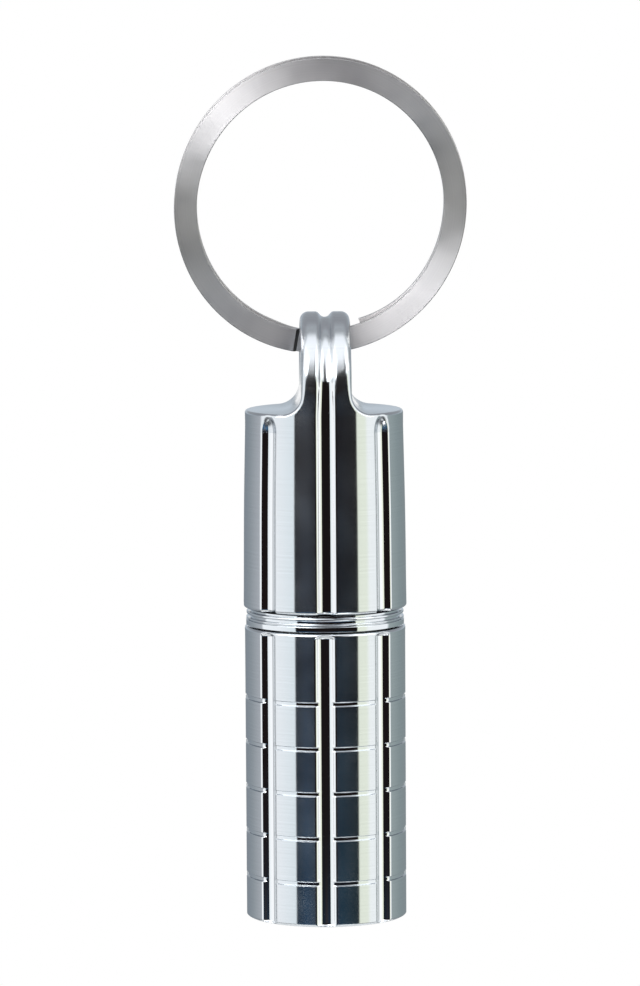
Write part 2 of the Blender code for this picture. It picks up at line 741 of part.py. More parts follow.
def build_ejector(rod_finish, disc_finish, nut_finish):
    """The fixed rod in the cap, its disc inside the blade and its lock nut."""
    rod = cylinder("ejector_rod", ROD_RADIUS, rod_foot_z, rod_seat_z - FIT, "Z", SMALL_STEPS, rod_finish)
    disc_radius = blade_bore - FIT
    socket_z = disc_top_z - DISC_SOCKET_DEPTH
    disc = turned("ejector_disc", [
        (rod_bore, disc_top_z),
        (disc_radius, disc_top_z),
        (disc_radius, disc_face_z),
        (0.0, disc_face_z),
        (0.0, socket_z),
        (rod_bore, socket_z),
    ], INNER_STEPS, disc_finish)
    nut_radius = LOCK_NUT_FLATS / 2 / math.cos(math.pi / 6)
    nut_top_z = cap_ceiling_z - FIT
    nut = cylinder("rod_lock_nut", nut_radius, nut_top_z - LOCK_NUT_HEIGHT, nut_top_z, "Z", 6, nut_finish)
    bore = cylinder("nut_bore_cutter", rod_bore, nut_top_z - LOCK_NUT_HEIGHT - OVERRUN,
                    nut_top_z + OVERRUN, "Z", SMALL_STEPS)
    combine(nut, bore, "DIFFERENCE")
    return [rod, disc, nut]


def build_o_ring(name, inner_radius, wire_radius, height, finish):
    """A round rubber ring."""
    bpy.ops.mesh.primitive_torus_add(
        major_radius=inner_radius + wire_radius, minor_radius=wire_radius,
        major_segments=INNER_STEPS, minor_segments=RUBBER_STEPS,
    )
    made = bpy.context.active_object
    mesh = made.data
    mesh.name = name
    mesh.shade_smooth()
    bpy.data.objects.remove(made)
    item = add_object(name, mesh, finish)
    item.location = (0.0, 0.0, height)
    return item


def build_wave_washer(finish):
    """A thin spring ring with waves, which takes up the sleeve's end play."""
    flat = turned("wave_washer_blank", [
        (cam_bore, WAVE_THICKNESS / 2),
        (cam_radius, WAVE_THICKNESS / 2),
        (cam_radius, -WAVE_THICKNESS / 2),
        (cam_bore, -WAVE_THICKNESS / 2),
    ], INNER_STEPS)
    mesh = evaluated_mesh(flat, "wave_washer")
    bpy.data.objects.remove(flat)
    for vertex in mesh.vertices:
        turn = math.atan2(vertex.co.y, vertex.co.x)
        vertex.co.z += WAVE_HEIGHT * math.cos(WAVE_COUNT * turn)
    item = add_object("wave_washer", mesh, finish)
    item.location = (0.0, 0.0, wave_z)
    return item


def build_thrust_washer(finish):
    """The slippery washer that the cam tube turns on."""
    return turned("thrust_washer", [
        (cam_bore, thrust_top_z),
        (cam_radius, thrust_top_z),
        (cam_radius, thrust_top_z - THRUST_WASHER_THICKNESS),
        (cam_bore, thrust_top_z - THRUST_WASHER_THICKNESS),
    ], INNER_STEPS, finish)


def build_retainer(finish):
    """The open snap ring that carries the thrust washer and keeps the sleeve on."""
    inner = core_radius - RETAINER_BITE
    outer = inner + RETAINER_WIDTH
    start = RETAINER_GAP / 2
    end = 2 * math.pi - start
    outline = arc((0.0, 0.0), outer, start, end, INNER_STEPS)
    outline += arc((0.0, 0.0), inner, end, start, INNER_STEPS)
    lift = Matrix.Translation((0.0, 0.0, (retainer_top_z + retainer_foot_z) / 2))
    return plate("retaining_ring", outline, RETAINER_THICKNESS / 2, lift @ FACING_UP, finish)


def add_pivot(name, height, parent, members):
    """An empty on a joint's axis that carries the pieces that move with it."""
    pivot = bpy.data.objects.new(name, None)
    model.objects.link(pivot)
    pivot.location = (0.0, 0.0, height)
    pivot.empty_display_size = RING_WIRE_WIDTH
    bpy.context.view_layer.update()
    for item in members:
        place = item.matrix_world.copy()
        item.parent = pivot
        item.matrix_parent_inverse = pivot.matrix_world.inverted()
        item.matrix_world = place
    if parent is not None:
        place = pivot.matrix_world.copy()
        pivot.parent = parent
        pivot.matrix_parent_inverse = parent.matrix_world.inverted()
        pivot.matrix_world = place
    return pivot


clear_scene()
model = make_collection("cigar_punch")
cutters = make_collection("cutters")

polished_steel = make_material("polished_steel", (0.62, 0.65, 0.68), 0.12, 1.0)
ring_steel = make_material("ring_steel", (0.66, 0.66, 0.67), 0.25, 1.0)
blade_steel = make_material("blade_steel", (0.60, 0.61, 0.62), 0.18, 1.0)
machined_steel = make_material("machined_steel", (0.50, 0.52, 0.54), 0.35, 1.0)
spring_steel = make_material("spring_steel", (0.28, 0.30, 0.33), 0.35, 1.0)
brass = make_material("brass", (0.78, 0.57, 0.25), 0.30, 1.0)
nylon = make_material("nylon", (0.85, 0.84, 0.79), 0.55, 0.0)
rubber = make_material("rubber", (0.02, 0.02, 0.02), 0.65, 0.0)

build_split_ring(ring_steel)
seal_inner = cam_radius - 2 * FRICTION_RING_RADIUS
flange_middle_z = (flange_top_z + flange_foot_z) / 2
cap_unit = [
    build_cap(polished_steel),
    build_collar(polished_steel),
    build_core_tube(machined_steel),
    build_o_ring("friction_ring", seal_inner, FRICTION_RING_RADIUS, flange_middle_z, rubber),
    build_wave_washer(spring_steel),
    build_thrust_washer(nylon),
    build_retainer(spring_steel),
] + build_ejector(machined_steel, nylon, brass)
sleeve_unit = [
    build_sleeve(polished_steel),
    build_cam_tube(brass),
    build_nose_bush(polished_steel),
    build_o_ring("wiper_ring", nose_bore + FIT, WIPER_RADIUS, nose_z + NOSE_HEIGHT / 2, rubber),
]
blade_unit = [
    build_punch_blade(blade_steel),
    build_blade_washer(spring_steel),
    build_carrier(brass),
    build_drive_pin("drive_pin_right", 1, machined_steel),
    build_drive_pin("drive_pin_left", -1, machined_steel),
]
swing_pivot = add_pivot("swing_pivot", eye_z, None, cap_unit)
add_pivot("twist_pivot", sleeve_top_z, swing_pivot, sleeve_unit)
add_pivot("slide_pivot", blade_tip_z, swing_pivot, blade_unit)
print(f"swing axis {eye_z:.6f}, sleeve top {sleeve_top_z:.6f}, nose face {nose_z:.6f}")
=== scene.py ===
"""Looks of the twist-action cigar punch on its split ring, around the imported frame.

Lengths are in millimetres until a mesh is made, and in metres in the studio at the end.
The front faces -Y and +Z is up. Angles round the body start at the front and grow towards
the right.
"""
import json
import math

import bmesh
import bpy
import numpy as np
from mathutils import Matrix, Vector


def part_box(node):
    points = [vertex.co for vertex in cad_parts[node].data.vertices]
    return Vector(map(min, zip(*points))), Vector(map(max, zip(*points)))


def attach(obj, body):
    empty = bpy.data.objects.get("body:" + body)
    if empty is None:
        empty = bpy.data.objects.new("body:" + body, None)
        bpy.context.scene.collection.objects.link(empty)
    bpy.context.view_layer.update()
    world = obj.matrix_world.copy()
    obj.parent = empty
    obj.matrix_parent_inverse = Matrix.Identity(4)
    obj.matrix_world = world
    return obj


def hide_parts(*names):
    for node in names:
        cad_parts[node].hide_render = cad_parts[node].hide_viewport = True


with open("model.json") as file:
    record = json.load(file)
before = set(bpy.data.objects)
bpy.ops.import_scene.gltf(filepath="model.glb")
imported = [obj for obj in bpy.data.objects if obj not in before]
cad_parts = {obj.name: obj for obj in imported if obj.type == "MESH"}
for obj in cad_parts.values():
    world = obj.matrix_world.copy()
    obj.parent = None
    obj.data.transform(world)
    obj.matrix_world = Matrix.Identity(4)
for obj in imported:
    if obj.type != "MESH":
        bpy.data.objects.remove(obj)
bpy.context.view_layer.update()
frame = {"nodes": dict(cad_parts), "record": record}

MM = 0.001

# Levels that the frame gives
nose_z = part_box("grip_sleeve")[0].z / MM
sleeve_top_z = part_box("grip_sleeve")[1].z / MM
collar_foot_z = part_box("collar_ring")[0].z / MM
collar_top_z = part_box("collar_ring")[1].z / MM
cap_foot_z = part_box("cap")[0].z / MM
bail_top_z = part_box("cap")[1].z / MM

# Body
SLEEVE_RADIUS = 8.31
SLEEVE_BORE = 6.95
CAP_FOOT_RADIUS = 8.44
CAP_TOP_RADIUS = 8.14
CAP_LENGTH = 20.33
CAP_BELLY = 0.05          # how much fuller the cap is at its middle
CAP_BORE = 5.85
CAP_CEILING = 11.45       # depth of the bore above the cap's foot
ROD_BORE = 1.35
ROD_SEAT = 15.70          # depth of the rod's hole above the cap's foot
CAP_RIM_ROUND = 0.32
ARCH_RIM_ROUND = 0.90
CAP_FOOT_ROUND = 0.35
EDGE_ROUND = 0.20         # polished-over edges of the flutes
CUT_WITHIN = 0.9 * EDGE_ROUND   # a face this near a flute's cutter belongs to the flute

FLUTE_COUNT = 8
FLUTE_RADIUS = 1.13
FLUTE_DEPTH = 0.555
CAP_END_STEEPNESS = 0.6   # 1 ends a flute like a ball, more ends it sooner
CAP_FLUTE_GAP = 0.28      # from the side flutes' ends to the shoulder
flute_lift = FLUTE_RADIUS - FLUTE_DEPTH
flute_reach = math.sqrt(FLUTE_RADIUS ** 2 - flute_lift ** 2)

# Bail
BAIL_HALF_WIDTH = 2.55
BAIL_FILLET = 2.15
ARCH_BLEND = 0.30
ARCH_FADE = 4.0           # height over which the bail's edges grow rounder
LOBE_ROUND = 0.36         # flute edges on top of the bail, worn rounder
NOTCH_RADIUS = 0.60       # the front flute narrows to this on top of the bail
NOTCH_MIRROR = 1.6        # how far up the arch that flute is a clear mirror
BUFF_FADE = 3.0           # how far up the arch the lathe's rings die out
BAIL_SHIFT = 0.13         # how far right of the axis the bail was milled
EYE_RADIUS = 2.954
EYE_RIM_ROUND = 0.60
EYE_LEVEL = -27.932
NECK = 1.87
WALL_DROP = 0.60          # from the side flutes' full depth down to where the skin begins
shoulder_z = cap_foot_z + CAP_LENGTH
arch_z = shoulder_z + NECK
cap_flute_top_z = shoulder_z - CAP_FLUTE_GAP - flute_reach / CAP_END_STEEPNESS
cap_cut_z = cap_flute_top_z - WALL_DROP   # below it the cap is a turned wall, above it a skin

# Sleeve
GROOVE_COUNT = 5
GROOVE_FIRST = 4.46       # the lowest groove's middle above the nose
GROOVE_PITCH = 4.62
GROOVE_HEIGHT = 0.52
GROOVE_WALL = 0.11        # height of each sloping side of a groove
GROOVE_DEPTH = 0.18
GROOVED_FROM = 0.01       # a face this deep belongs to the groove
SLEEVE_TOP_ROUND = 0.32
SLEEVE_FOOT_ROUND = 0.34
SLEEVE_END_STEEPNESS = 2.4
SLEEVE_FOOT_STEEPNESS = 5.0
SLEEVE_FLUTE_GAP = 0.17   # from the flutes' ends to the sleeve's top
SLEEVE_FOOT_GAP = 0.26    # from the nose to the flutes' full depth
SLEEVE_TURN = math.radians(-1.2)   # the grip stands a hair off the cap's flutes
grooves = [nose_z + GROOVE_FIRST + GROOVE_PITCH * index for index in range(GROOVE_COUNT)]
sleeve_flute_top_z = sleeve_top_z - SLEEVE_FLUTE_GAP - flute_reach / SLEEVE_END_STEEPNESS
sleeve_flute_foot_z = nose_z + SLEEVE_FOOT_GAP

# Nose bush and blade
RUNNING_FIT = 0.25
BUSH_CHAMFER = 0.15
BUSH_MOUTH = 0.4            # the bore's chamfer at the face
WIPER_GROOVE = (0.70, 1.4)  # half height, depth
SPANNER_SLOT = (0.6, 0.6)   # half width, depth
SLOT_CUTTER = (9, 1)        # how far the slots' cutter reaches to each side and out of the face
BLADE_WALL = 0.55
BLADE_BEVEL = 1.3
BLADE_LEFT = 0.15           # share of the wall that the bevel leaves at the edge

# Split ring
RING_RADIUS = 15.0
RING_OVAL = 0.15
RING_LEAN = math.radians(33.0)
RING_CENTRE = (-0.25, -12.80)
RING_WIDTH = 2.33
RING_THICKNESS = 0.85
RING_GAP = 0.15
RING_CORNER = 0.08
RING_FRONT_END = math.radians(9.8)
RING_END_SLANT = 0.35      # how far back the front end is ground at its front
RING_REAR_END = math.radians(18.0)
RING_CROSSING = (math.radians(-14.0), math.radians(7.5))   # where the wire passes to the rear
REAR_SHIFT = (0.02, 0.20)             # how far the rear turn sits off the front one
REAR_SHIFT_WITHIN = math.radians(17.0)
SPRUNG_END = 0.25
SPRUNG_SPREAD = math.radians(34.0)

# Fineness of the meshes
SKIN_CELL = 0.11
SKIN_ROOM = (0.2, 0.5, 0.25)    # room of its grid round the cap, below the cut and above the bail
SKIN_PASSES = 3
WALL_WITHIN = (6.5, 9.2)        # radii between which an outer wall is looked for
WALL_HALVINGS = 34
END_GAP = 1e-4                  # a wall's last rows stay this far inside its end faces
ROUND_ROWS = 1 - np.sin(np.linspace(0, math.pi / 2, 6))   # shares of a rounded edge
GROOVE_ROWS = (0.0, 0.54, 0.6, 0.68, 0.76, 0.84, 0.92, 1.0, 1.1)   # shares of half its height
SLEEVE_TOP_ROWS = (0.36, 9)     # start below the top, and number down to the flutes' full depth
SLEEVE_FOOT_ROWS = (0.4, 1.0, 4)   # start and end above the nose, and number
CAP_ROWS = (0.5, 14)            # end above the foot, and number from the cut
FLUTE_COLUMNS = 7               # from a flute's middle to the band at its edge
EDGE_BAND = (-2.2, 2.4)         # degrees off a flute's edge
EDGE_COLUMNS = 15
LAND_COLUMNS = (3.6, 6.0, 9.5, 13.5)   # degrees off a flute's edge
TURN_STEPS = 160
ROUND_STEPS = 4
ROUND_SHARE = 0.45              # most of a side that a rounded corner may take
CORNER_STEPS = 4
RING_STATIONS = 340
CREASE = math.radians(32)       # turned edges sharper than this stay crisp

# Which of the piece's three finishes a face has, on sleeve and cap and on the ring.
# SPECIAL is a groove of the sleeve, and shoulder and bail of the cap.
WALL, FLUTE, SPECIAL = range(3)
BROAD_SIDE, NARROW_SIDE, WIRE_END = range(3)


def linear(code):
    """An sRGB hex colour as linear RGB."""
    parts = [int(code[i:i + 2], 16) / 255 for i in (0, 2, 4)]
    return [((c + 0.055) / 1.055) ** 2.4 if c > 0.04045 else c / 12.92 for c in parts]


def feed(tree, node, inputs):
    """Give a node's inputs their values and links."""
    for name, value in inputs.items():
        if isinstance(value, bpy.types.NodeSocket):
            tree.links.new(value, node.inputs[name])
        else:
            node.inputs[name].default_value = value


def add_node(tree, kind, inputs=None, **settings):
    """Add a node with its settings, values and links."""
    made = tree.nodes.new(kind)
    for name, value in settings.items():
        setattr(made, name, value)
    feed(tree, made, inputs or {})
    return made


def maths(tree, operation, one, other=None):
    """The result of an operation on one or two values or links."""
    inputs = {0: one} if other is None else {0: one, 1: other}
    return add_node(tree, "ShaderNodeMath", inputs, operation=operation).outputs[0]


def between(tree, value, start, end, low=0.0, high=1.0):
    """Low where the value is at start, high where it is at end, and even in between."""
    return add_node(tree, "ShaderNodeMapRange", {
        "Value": value, "From Min": start, "From Max": end, "To Min": low, "To Max": high}).outputs[0]


def blend(tree, share, one, other):
    """A colour that goes from one to the other with the share."""
    return add_node(tree, "ShaderNodeMix", {0: share, 6: one, 7: other}, data_type="RGBA").outputs[2]


def add_object(name, data):
    """A new object in the scene."""
    made = bpy.data.objects.new(name, data)
    bpy.context.scene.collection.objects.link(made)
    return made


def new_mesh(name, points, faces):
    """A mesh from points in millimetres."""
    mesh = bpy.data.meshes.new(name)
    mesh.from_pydata([tuple(point) for point in np.asarray(points) * MM], [], faces)
    return mesh


def add_piece(name, mesh, body, node):
    """A piece that rides on a body and takes the place of a node."""
    piece = add_object(name, mesh)
    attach(piece, body)
    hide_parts(node)
    return piece


def eased(share):
    """A share kept within 0 and 1, with soft starts and ends."""
    share = np.clip(share, 0, 1)
    return share * share * (3 - 2 * share)


# Fields: negative inside the metal, zero on its skin

def round_meet(one, other, radius):
    """Where both solids are, with a rounded edge."""
    corner = np.hypot(np.maximum(one + radius, 0), np.maximum(other + radius, 0))
    return np.minimum(-radius, np.maximum(one, other)) + corner


def round_join(one, other, radius):
    """Where either solid is, with a fillet."""
    corner = np.hypot(np.maximum(radius - one, 0), np.maximum(radius - other, 0))
    return np.maximum(radius, np.minimum(one, other)) - corner


def cap_radius(z):
    """The cap's outside, which tapers and bellies a little."""
    share = np.clip((z - cap_foot_z) / CAP_LENGTH, 0, 1)
    taper = CAP_FOOT_RADIUS + (CAP_TOP_RADIUS - CAP_FOOT_RADIUS) * share
    return taper + CAP_BELLY * np.sin(np.pi * share) ** 2


def nearest_flute(x, y, first=0.0):
    """Number of the nearest flute, and place across and outwards as it sees it."""
    turn = np.arctan2(x, -y) - first
    pitch = 2 * np.pi / FLUTE_COUNT
    number = np.round(turn / pitch)
    off = turn - number * pitch
    radius = np.hypot(x, y)
    return np.abs(number), radius * np.sin(off), radius * np.cos(off)


def cap_flutes(x, y, z):
    """Distance outside the nearest flute's cutter: side ones end round, one goes over the top."""
    reach = cap_radius(z) + flute_lift
    number, across, out = nearest_flute(x, y)
    above = CAP_END_STEEPNESS * np.maximum(z - cap_flute_top_z, 0)
    side = np.sqrt(across ** 2 + (out - reach) ** 2 + above ** 2) - FLUTE_RADIUS
    side = np.where((number == 0) | (number == FLUTE_COUNT // 2), FLUTE_RADIUS, side)
    share = np.clip((z - shoulder_z) / (bail_top_z - shoulder_z), 0, 1)
    narrow = FLUTE_RADIUS - (FLUTE_RADIUS - NOTCH_RADIUS) * share
    outwards = np.hypot(y, np.maximum(z - arch_z, 0)) - cap_radius(z) - narrow + FLUTE_DEPTH
    over = np.hypot(x - BAIL_SHIFT * share, outwards) - narrow
    return np.minimum(side, over)


def cap_field(x, y, z):
    """The whole outside of the cap with its bail, eye and flutes."""
    column = np.hypot(x, y) - cap_radius(z)
    height = np.maximum(z - arch_z, 0)
    arch = np.hypot(y, height) - cap_radius(z)
    blended = np.clip(ARCH_BLEND * height, 1e-5, ARCH_BLEND)
    overlap = np.maximum(blended - np.abs(column - arch), 0)
    outside = np.maximum(column, arch) + overlap ** 2 / (4 * blended)
    front = round_join(np.abs(x - BAIL_SHIFT) - BAIL_HALF_WIDTH, z - shoulder_z, BAIL_FILLET)
    top = np.clip(height / ARCH_FADE, 0, 1)
    solid = round_meet(front, outside, CAP_RIM_ROUND + (ARCH_RIM_ROUND - CAP_RIM_ROUND) * top)
    solid = round_meet(solid, EYE_RADIUS - np.hypot(y, z - EYE_LEVEL), EYE_RIM_ROUND)
    edge = EDGE_ROUND + (LOBE_ROUND - EDGE_ROUND) * top
    solid = round_meet(solid, -cap_flutes(x, y, z), edge)
    return round_meet(solid, cap_foot_z - z, CAP_FOOT_ROUND)


def sleeve_radius(z):
    """The sleeve's outside with its turned grooves."""
    dip = np.zeros_like(z)
    for middle in grooves:
        dip = np.maximum(dip, (GROOVE_HEIGHT / 2 - np.abs(z - middle)) / GROOVE_WALL)
    return SLEEVE_RADIUS - GROOVE_DEPTH * eased(dip)


def sleeve_flutes(x, y, z):
    """Distance outside the nearest flute's cutter."""
    _, across, out = nearest_flute(x, y, SLEEVE_TURN)
    above = SLEEVE_END_STEEPNESS * np.maximum(z - sleeve_flute_top_z, 0)
    below = SLEEVE_FOOT_STEEPNESS * np.maximum(sleeve_flute_foot_z - z, 0)
    reach = SLEEVE_RADIUS + flute_lift
    return np.sqrt(across ** 2 + (out - reach) ** 2 + above ** 2 + below ** 2) - FLUTE_RADIUS


def sleeve_field(x, y, z):
    """The outside of the grip sleeve."""
    solid = np.hypot(x, y) - sleeve_radius(z)
    solid = round_meet(solid, -sleeve_flutes(x, y, z), EDGE_ROUND)
    solid = round_meet(solid, z - sleeve_top_z, SLEEVE_TOP_ROUND)
    return round_meet(solid, nose_z - z, SLEEVE_FOOT_ROUND)


def slopes(field, points):
    """Unit normals of a field at points."""
    step = 1e-4
    out = np.empty_like(points)
    for axis in range(3):
        ahead = points.copy()
        behind = points.copy()
        ahead[:, axis] += step
        behind[:, axis] -= step
        out[:, axis] = field(*ahead.T) - field(*behind.T)
    return out / np.maximum(np.linalg.norm(out, axis=1, keepdims=True), 1e-12)


def fluted_angles():
    """Columns round a fluted body, close together at the flutes' edges."""
    edge = math.degrees(math.asin(flute_reach / SLEEVE_RADIUS))
    band = [edge + off for off in EDGE_BAND]
    half = list(np.linspace(0, band[0], FLUTE_COLUMNS, endpoint=False))
    half += list(np.linspace(band[0], band[1], EDGE_COLUMNS))
    half += [edge + off for off in LAND_COLUMNS]
    pitch = 360 / FLUTE_COUNT
    one = [-value for value in half[:0:-1]] + half
    turns = [pitch * index + value for index in range(FLUTE_COUNT) for value in one]
    return np.radians(np.array(turns))


def wall_points(field, angles, levels):
    """Rows of points where the field's skin crosses each level, found from the axis outwards."""
    turn, level = np.meshgrid(angles, levels)
    low = np.full(turn.shape, WALL_WITHIN[0])
    high = np.full(turn.shape, WALL_WITHIN[1])
    for _ in range(WALL_HALVINGS):
        middle = (low + high) / 2
        inside = field(middle * np.sin(turn), -middle * np.cos(turn), level) < 0
        low = np.where(inside, middle, low)
        high = np.where(inside, high, middle)
    return np.stack([low * np.sin(turn), -low * np.cos(turn), level], axis=-1)


def ring_points(angles, radius, level):
    """One plain row of points."""
    return np.stack([radius * np.sin(angles), -radius * np.cos(angles), np.full_like(angles, level)], -1)


def row_faces(first_row, rows, columns):
    """Quads between rows that lie below one another, all facing outwards."""
    faces = []
    for row in range(first_row, first_row + rows - 1):
        for column in range(columns):
            following = (column + 1) % columns
            faces.append((row * columns + column, (row + 1) * columns + column,
                          (row + 1) * columns + following, row * columns + following))
    return faces


def closing_faces(last_row, columns):
    """Quads from the last row back to the first."""
    base = last_row * columns
    return [(base + c, c, (c + 1) % columns, base + (c + 1) % columns) for c in range(columns)]


def make_piece(name, points, faces, normals, smooth, materials, kinds, body, node):
    """A piece whose smooth faces take the given normals, and each face the material of its kind."""
    mesh = new_mesh(name, points, faces)
    for material in materials:
        mesh.materials.append(material)
    mesh.polygons.foreach_set("material_index", np.asarray(kinds, dtype=np.int32))
    mesh.shade_smooth()
    sizes = np.array([len(face) for face in faces])
    owner = np.repeat(np.arange(len(faces)), sizes)
    corner = np.concatenate([np.asarray(face) for face in faces])
    flat = np.empty(len(faces) * 3)
    mesh.polygons.foreach_get("normal", flat)
    flat = flat.reshape(-1, 3)
    chosen = np.where(np.asarray(smooth)[owner][:, None], np.asarray(normals)[corner], flat[owner])
    mesh.normals_split_custom_set([tuple(normal) for normal in chosen])
    add_piece(name, mesh, body, node)


def skin(field, lows, highs, cell):
    """Quads on a field's skin: one point in each mixed cell of a grid, moved onto the skin."""
    axes = [np.linspace(low, high, max(2, round((high - low) / cell)) + 1)
            for low, high in zip(lows, highs)]
    value = field(*np.meshgrid(*axes, indexing="ij"))
    inside = value < 0
    size = tuple(count - 1 for count in value.shape)
    corners = [(i, j, k) for i in (0, 1) for j in (0, 1) for k in (0, 1)]
    count = np.zeros(size, dtype=int)
    for i, j, k in corners:
        count += inside[i:i + size[0], j:j + size[1], k:k + size[2]]
    mixed = (count > 0) & (count < len(corners))
    number = np.full(size, -1)
    number[mixed] = np.arange(mixed.sum())
    cells = np.nonzero(mixed)

    # Each point starts in the middle of the places where the skin crosses its cell's edges
    total = np.zeros((len(cells[0]), 3))
    hits = np.zeros(len(cells[0]))
    for one in corners:
        for axis in range(3):
            if one[axis]:
                continue
            other = tuple(1 if place == axis else one[place] for place in range(3))
            at_one = tuple(cells[place] + one[place] for place in range(3))
            at_other = tuple(cells[place] + other[place] for place in range(3))
            crossing = inside[at_one] != inside[at_other]
            share = value[at_one] / np.where(crossing, value[at_one] - value[at_other], 1.0)
            here = np.stack([axes[place][at_one[place]] for place in range(3)], -1)
            there = np.stack([axes[place][at_other[place]] for place in range(3)], -1)
            total += np.where(crossing[:, None], here + share[:, None] * (there - here), 0)
            hits += crossing
    points = total / hits[:, None]
    for _ in range(SKIN_PASSES):
        away = slopes(field, points)
        points -= np.clip(field(*points.T), -cell / 3, cell / 3)[:, None] * away

    # Each edge of the grid that the skin crosses gives a quad of the four cells round it
    faces = []
    for axis in range(3):
        after, last = (axis + 1) % 3, (axis + 2) % 3
        lower = [slice(None)] * 3
        upper = [slice(None)] * 3
        lower[axis] = slice(0, -1)
        upper[axis] = slice(1, None)
        for place in (after, last):
            lower[place] = slice(1, -1)
            upper[place] = slice(1, -1)
        leaving = inside[tuple(lower)] & ~inside[tuple(upper)]
        entering = ~inside[tuple(lower)] & inside[tuple(upper)]
        for crossing, order in ((leaving, (0, 1, 2, 3)), (entering, (3, 2, 1, 0))):
            at = list(np.nonzero(crossing))
            around = []
            for back_after, back_last in ((1, 1), (0, 1), (0, 0), (1, 0)):
                cell_at = [None] * 3
                cell_at[axis] = at[axis]
                cell_at[after] = at[after] + 1 - back_after
                cell_at[last] = at[last] + 1 - back_last
                around.append(number[tuple(cell_at)])
            faces.append(np.stack([around[place] for place in order], -1))
    return points, np.concatenate(faces)


# Materials

CLOUD_SCALE = 260.0             # polish clouds, some 4 mm across
CLOUD_SPAN = (0.3, 0.7)
POLISH_SPREAD = (0.9, 1.15)     # how far the roughness strays from its value
MARK_SPAN = (0.25, 0.75)
PAINTED_MARK_SHADE = 0.93               # painted shade: how much darker the deepest tool mark is coloured
SPECK_SHADE = (0.8, 1.1)


def new_material(name):
    """A material, its node tree and its shader."""
    material = bpy.data.materials.new(name)
    material.use_nodes = True
    return material, material.node_tree, material.node_tree.nodes["Principled BSDF"]


def shaded(tree, colour, level):
    """A colour made lighter or darker by a level."""
    return add_node(tree, "ShaderNodeVectorMath", {0: linear(colour), "Scale": level},
                    operation="SCALE").outputs[0]


def metal(name, colour, roughness, anisotropy=0.0, axis=None, lines=None, line_depth=0.0, clouds=0.0,
          fade=None, haze=0.0, lay=0.25):
    """A bare metal with its tool marks, which run round an axis of the piece, their deeper parts
    coloured darker as painted shade.

    lines is their spacing in millimetres, clouds how much the polish varies, and fade the
    two levels between which a hand buff wipes the marks out, going up, and leaves its haze.
    lay is the direction of the marks, in turns, where a quarter is straight round the axis.
    """
    material, tree, shader = new_material(name)
    place = add_node(tree, "ShaderNodeTexCoord").outputs["Object"]
    parts = add_node(tree, "ShaderNodeSeparateXYZ", {0: place}).outputs
    track = parts["Z"]
    if axis == "Y":
        across = maths(tree, "ADD", parts["X"], -RING_CENTRE[0] * MM)
        upwards = maths(tree, "ADD", parts["Z"], -RING_CENTRE[1] * MM)
        flat = add_node(tree, "ShaderNodeCombineXYZ", {0: across, 1: upwards}).outputs[0]
        track = add_node(tree, "ShaderNodeVectorMath", {0: flat}, operation="LENGTH").outputs["Value"]
    kept = 1.0
    stretch = anisotropy
    if fade:
        kept = between(tree, parts["Z"], fade[0] * MM, fade[1] * MM, 1.0, 0.0)
        stretch = maths(tree, "MULTIPLY", kept, anisotropy)
    if axis:
        tangent = add_node(tree, "ShaderNodeTangent", direction_type="RADIAL", axis=axis)
        feed(tree, shader, {"Tangent": tangent.outputs[0], "Anisotropic Rotation": lay})
    cloud = add_node(tree, "ShaderNodeTexNoise", {
        "Vector": place, "Scale": CLOUD_SCALE, "Detail": 3.0}).outputs["Fac"]
    level = between(tree, cloud, *CLOUD_SPAN, 1.0 - clouds, 1.0)
    if lines:
        pitch = maths(tree, "MULTIPLY", track, 1 / (lines * MM))
        mark = add_node(tree, "ShaderNodeTexNoise", {
            "W": pitch, "Scale": 1.0, "Detail": 2.0, "Roughness": 0.7},
            noise_dimensions="1D").outputs["Fac"]
        bump = add_node(tree, "ShaderNodeBump", {
            "Height": mark, "Strength": kept, "Distance": line_depth * MM})
        feed(tree, shader, {"Normal": bump.outputs[0]})
        # Painted shade: the colour is darkened where a tool mark is deep
        level = maths(tree, "MULTIPLY", level, between(tree, mark, *MARK_SPAN, PAINTED_MARK_SHADE, 1.0))
    rough = between(tree, cloud, *CLOUD_SPAN, *[roughness * spread for spread in POLISH_SPREAD])
    if fade:
        rough = maths(tree, "ADD", rough, between(tree, kept, 0.0, 1.0, haze, 0.0))
    feed(tree, shader, {"Metallic": 1.0, "Anisotropic": stretch, "Roughness": rough,
                        "Base Color": shaded(tree, colour, level)})
    return material


def plain(name, colour, roughness, grain, depth):
    """A rubber, plastic or laminate with a fine grain, its spacing and depth in millimetres."""
    material, tree, shader = new_material(name)
    place = add_node(tree, "ShaderNodeTexCoord").outputs["Object"]
    speck = add_node(tree, "ShaderNodeTexNoise", {
        "Vector": place, "Scale": 1 / (grain * MM), "Detail": 3.0}).outputs["Fac"]
    bump = add_node(tree, "ShaderNodeBump", {"Height": speck, "Distance": depth * MM})
    level = between(tree, speck, 0.0, 1.0, *SPECK_SHADE)
    feed(tree, shader, {"Roughness": roughness, "Base Color": shaded(tree, colour, level),
                        "Normal": bump.outputs[0]})
    return material


# Stainless steel turned on a lathe and polished: sharp along the body, with faint rings
# across it that spread a reflection up and down. Real rings are 0.05 mm apart, drawn at 0.2.
lathe = {"colour": "c6cbd0", "roughness": 0.118, "anisotropy": 0.95, "axis": "Z", "lines": 0.20,
         "line_depth": 0.0006}
turned_steel = metal("turned_polished_stainless_steel", **lathe, clouds=0.02)
# Shoulder and bail: the turned rings die out going up, where a hand buff left a soft haze
bail_steel = metal("turned_then_hand_buffed_stainless_steel", **lathe, clouds=0.03,
                   fade=(arch_z, arch_z + BUFF_FADE), haze=0.12)
# The same steel where a ball cutter ran and a buff followed it: a clear mirror
buffed_steel = metal("buffed_stainless_steel", "d0d3d6", 0.06, clouds=0.01)
# Grooves cut with a form tool: bright and clear, without the lathe's rings
groove_steel = metal("form_tool_cut_stainless_steel", "c6cbd0", 0.05, clouds=0.01)

